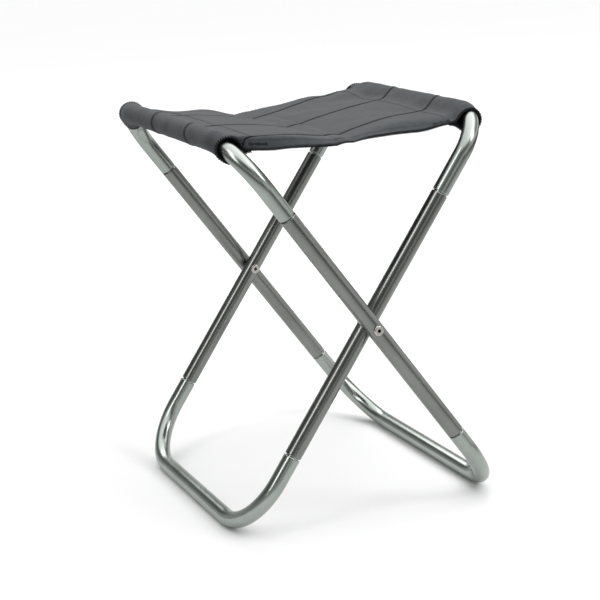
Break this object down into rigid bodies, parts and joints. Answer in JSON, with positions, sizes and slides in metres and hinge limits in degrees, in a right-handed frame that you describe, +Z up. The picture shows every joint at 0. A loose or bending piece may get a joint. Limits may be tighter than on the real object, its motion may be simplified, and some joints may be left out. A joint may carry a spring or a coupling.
{
  "type": "folding stool",
  "caption": "Folding camp stool with two tube frames crossed on a rivet pivot and a slung cloth seat that folds down between them.",
  "frame": {"origin": "middle of the bounding box on the floor, under the pivot", "axes": "+Z up, +X from the outer frame's top tube to the inner frame's top tube, +Y along the pivot axis to the far side"},
  "size_m": [0.2074, 0.2526, 0.2864],
  "materials": {
    "bright_tube": "satin silver anodised",
    "dark_tube": "satin gunmetal anodised",
    "rivet": "bright nickel plated",
    "washer": "black nylon",
    "seat_cloth": "dark blue-grey plain weave",
    "seat_thread": "dark sewing thread"
  },
  "bodies": {
    "outer_frame": {"outer_top_bend": "bright_tube", "outer_bottom_bend": "bright_tube", "outer_leg_near": "dark_tube", "outer_leg_far": "dark_tube", "rivet_near": "rivet", "rivet_far": "rivet", "washer_near": "washer", "washer_far": "washer", "sleeve_left": "seat_cloth"},
    "inner_frame": {"inner_top_bend": "bright_tube", "inner_bottom_bend": "bright_tube", "inner_leg_near": "dark_tube", "inner_leg_far": "dark_tube", "sleeve_right": "seat_cloth"},
    "seat_left": {"near_strip_left": "seat_cloth", "near_mid_strip_left": "seat_cloth", "far_mid_strip_left": "seat_cloth", "far_strip_left": "seat_cloth", "near_edge_left": "seat_thread", "far_edge_left": "seat_thread", "seat_valley": "seat_cloth"},
    "seat_right": {"near_strip_right": "seat_cloth", "near_mid_strip_right": "seat_cloth", "far_mid_strip_right": "seat_cloth", "far_strip_right": "seat_cloth", "near_edge_right": "seat_thread", "far_edge_right": "seat_thread"}
  },
  "joints": [
    {"name": "fold", "type": "hinge", "parent": "outer_frame", "child": "inner_frame", "pos_m": [0, 0, 0.14292], "axis": [0, -1, 0], "range_deg": [0, 65], "deforming": ["seat_valley"]},
    {"name": "seat_left_drop", "type": "hinge", "parent": "outer_frame", "child": "seat_left", "pos_m": [-0.0963, 0, 0.279], "axis": [0, 1, 0], "range_deg": [0, 49]},
    {"name": "seat_right_drop", "type": "hinge", "parent": "inner_frame", "child": "seat_right", "pos_m": [0.0963, 0, 0.279], "axis": [0, -1, 0], "range_deg": [0, 49]}
  ],
  "couplings": [
    {"joint": "seat_left_drop", "follows": "fold", "ratio": 0.752},
    {"joint": "seat_right_drop", "follows": "fold", "ratio": 0.752}
  ]
}
